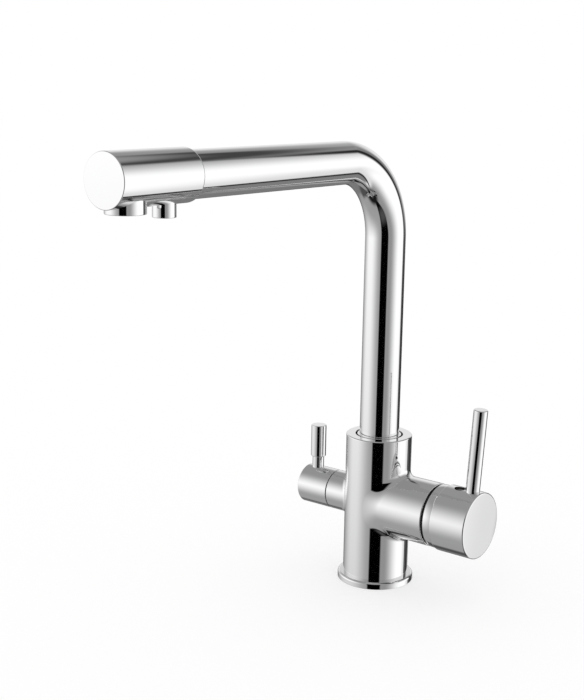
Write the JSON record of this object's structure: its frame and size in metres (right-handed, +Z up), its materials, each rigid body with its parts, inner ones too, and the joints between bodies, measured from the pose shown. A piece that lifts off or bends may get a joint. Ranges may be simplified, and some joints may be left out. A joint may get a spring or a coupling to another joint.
{
  "type": "three way filtered water tap",
  "caption": "Single-hole kitchen tap with a side mixer handle, a second small handle for filtered water and a swivelling right-angle spout with two separate outlets.",
  "frame": {"origin": "centre of the base, on the worktop plane", "axes": "+Z up along the body and riser, -Y towards the user along the spout, +X towards the mixer handle"},
  "size_m": [0.1461, 0.2869, 0.3122],
  "materials": {
    "chrome": "polished",
    "brass": "turned",
    "steel": "satin",
    "ceramic": "lapped",
    "white_plastic": "moulded",
    "grey_plastic": "moulded",
    "dark_plastic": "gloss",
    "hose": "smooth",
    "rubber": "moulded"
  },
  "bodies": {
    "tap_body": {"body_casting": "chrome", "base_ring": "chrome", "base_gasket": "rubber", "collar_ring": "chrome", "collar_seal": "rubber", "glide_ring": "white_plastic", "foot_ring": "white_plastic", "filter_nipple": "brass", "cartridge_base": "white_plastic", "cartridge_seals": "rubber", "cartridge_housing": "white_plastic", "mixer_fixed_disc": "ceramic", "mixer_nut": "brass", "mixer_groove_ring": "rubber", "mixer_cover_ring": "chrome", "filter_seat_seal": "rubber", "filter_headwork": "brass", "filter_fixed_disc": "ceramic"},
    "spout": {"spout_insert": "brass", "spout_o_rings": "rubber", "spout_tube": "chrome", "spout_head": "chrome", "filter_connector": "white_plastic", "filter_hose": "hose", "filter_elbow": "white_plastic", "aerator_cage": "grey_plastic", "aerator_core": "white_plastic", "aerator_washer": "rubber", "filter_insert": "grey_plastic"},
    "mixer_turntable": {"mixer_rotor": "grey_plastic", "mixer_pivot_pin": "steel"},
    "mixer_disc_slide": {"mixer_slider": "grey_plastic", "mixer_moving_disc": "ceramic"},
    "mixer_handle": {"mixer_spindle": "steel", "mixer_cap": "chrome", "mixer_lever": "chrome", "mixer_grub_screw": "steel", "mixer_index_plug": "dark_plastic"},
    "filter_handle": {"filter_spindle": "brass", "filter_moving_disc": "ceramic", "filter_stem_o_ring": "rubber", "filter_clip": "steel", "filter_knob": "chrome", "filter_lever": "chrome"}
  },
  "joints": [
    {"name": "spout_swivel", "type": "hinge", "parent": "tap_body", "child": "spout", "pos_m": [0, 0, 0.1], "axis": [0, 0, 1], "continuous": true},
    {"name": "mixer_turn", "type": "hinge", "parent": "tap_body", "child": "mixer_turntable", "pos_m": [0.054, 0, 0.0575], "axis": [1, 0, 0], "range_deg": [-50, 50]},
    {"name": "mixer_lift", "type": "hinge", "parent": "mixer_turntable", "child": "mixer_handle", "pos_m": [0.054, 0, 0.0575], "axis": [0, 1, 0], "range_deg": [0, 17]},
    {"name": "disc_slide", "type": "slide", "parent": "mixer_turntable", "child": "mixer_disc_slide", "axis": [0, 0, 1], "range_m": [0, 0.0024]},
    {"name": "filter_turn", "type": "hinge", "parent": "tap_body", "child": "filter_handle", "pos_m": [-0.045, 0, 0.0575], "axis": [1, 0, 0], "range_deg": [0, 90]}
  ],
  "couplings": [
    {"joint": "disc_slide", "follows": "mixer_lift", "m_per_rad": 0.008}
  ]
}
